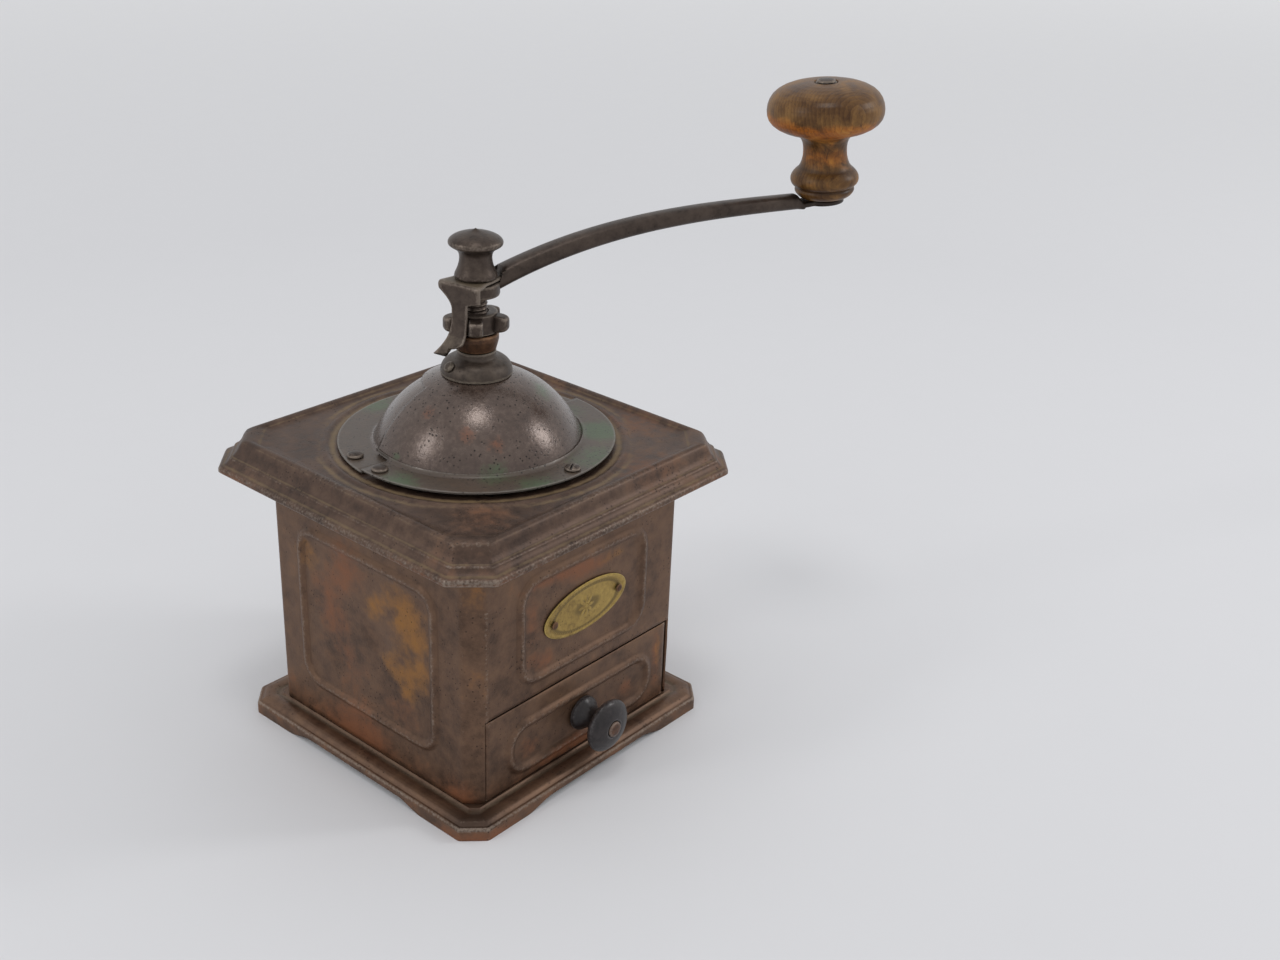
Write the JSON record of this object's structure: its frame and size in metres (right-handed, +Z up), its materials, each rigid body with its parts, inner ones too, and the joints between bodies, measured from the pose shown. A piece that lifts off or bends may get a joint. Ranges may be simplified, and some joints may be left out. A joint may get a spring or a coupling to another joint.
{
  "type": "hand cranked spice mill",
  "caption": "Square sheet steel box mill with a domed hopper and turning lid, a bowed crank with a turned wooden knob, a lobed grind adjuster and a drawer for the grounds.",
  "frame": {"origin": "on the table, under the middle of the whole object's bounding box with the crank as in the picture; the vertical spindle axis is at x = -0.0328 m, y = 0.0015 m", "axes": "+Z up along the spindle; the drawer opens towards -Y; the case's sides lie along X and Y"},
  "size_m": [0.1799, 0.1174, 0.1915],
  "materials": {
    "case_steel": "aged brown patina with rust",
    "dome_steel": "pitted, worn smooth",
    "forged_steel": "dark brown patina",
    "tinplate": "dull tinned",
    "burr_iron": "as cast, edges worn",
    "old_brass": "dull",
    "copper_alloy": "worn coppery",
    "turned_wood": "worn varnish",
    "black_pull": "black, worn"
  },
  "bodies": {
    "case": {"base_plate": "case_steel", "body_shell": "case_steel", "top_cover": "case_steel", "hopper_dome": "dome_steel", "collar": "dome_steel", "bearing_bush": "copper_alloy", "collar_pin_1": "forged_steel", "collar_pin_2": "forged_steel", "collar_pin_3": "forged_steel", "dome_rivet": "forged_steel", "dome_screw": "forged_steel", "label_plate": "old_brass", "label_pin_left": "old_brass", "label_pin_right": "old_brass", "hopper_bowl": "tinplate", "outer_burr": "burr_iron", "burr_screw_1": "forged_steel", "burr_screw_2": "forged_steel", "lower_bridge": "burr_iron", "bridge_screw_1": "forged_steel", "bridge_screw_2": "forged_steel", "drawer_rail_left": "tinplate", "drawer_rail_right": "tinplate"},
    "door": {"hopper_door": "dome_steel", "door_rivet": "forged_steel"},
    "drawer": {"drawer_box": "tinplate", "drawer_front": "case_steel", "drawer_pull": "black_pull", "pull_screw": "forged_steel", "pull_nut": "forged_steel"},
    "sleeve": {"thrust_sleeve": "copper_alloy"},
    "adjuster": {"adjuster_nut": "forged_steel"},
    "spindle": {"main_shaft": "forged_steel", "inner_burr": "burr_iron", "cross_pin": "forged_steel", "crank_arm": "forged_steel", "latch_leaf": "forged_steel", "top_nut": "forged_steel", "handle_pin": "forged_steel", "handle_washer": "forged_steel"},
    "handle": {"handle_knob": "turned_wood"}
  },
  "joints": [
    {"name": "crank_spin", "type": "hinge", "parent": "case", "child": "sleeve", "pos_m": [-0.03284, 0.00154, 0.1237], "axis": [0, 0, 1], "continuous": true},
    {"name": "adjuster_turn", "type": "hinge", "parent": "sleeve", "child": "adjuster", "pos_m": [-0.03284, 0.00154, 0.1295], "axis": [0, 0, 1], "range_deg": [-216, 216], "deforming": ["latch_leaf"]},
    {"name": "burr_lift", "type": "slide", "parent": "sleeve", "child": "spindle", "axis": [0, 0, 1], "range_m": [-0.00075, 0.00075]},
    {"name": "handle_spin", "type": "hinge", "parent": "spindle", "child": "handle", "pos_m": [0.07425, -0.04172, 0.15457], "axis": [-0.0808, 0.0327, 0.9962], "continuous": true},
    {"name": "drawer_slide", "type": "slide", "parent": "case", "child": "drawer", "axis": [0, -1, 0], "range_m": [0, 0.075]},
    {"name": "door_turn", "type": "hinge", "parent": "case", "child": "door", "pos_m": [-0.03284, 0.00154, 0.1], "axis": [0, 0, -1], "range_deg": [0, 76]}
  ],
  "couplings": [
    {"joint": "adjuster_turn", "follows": "burr_lift", "rad_per_m": 5026.5}
  ]
}
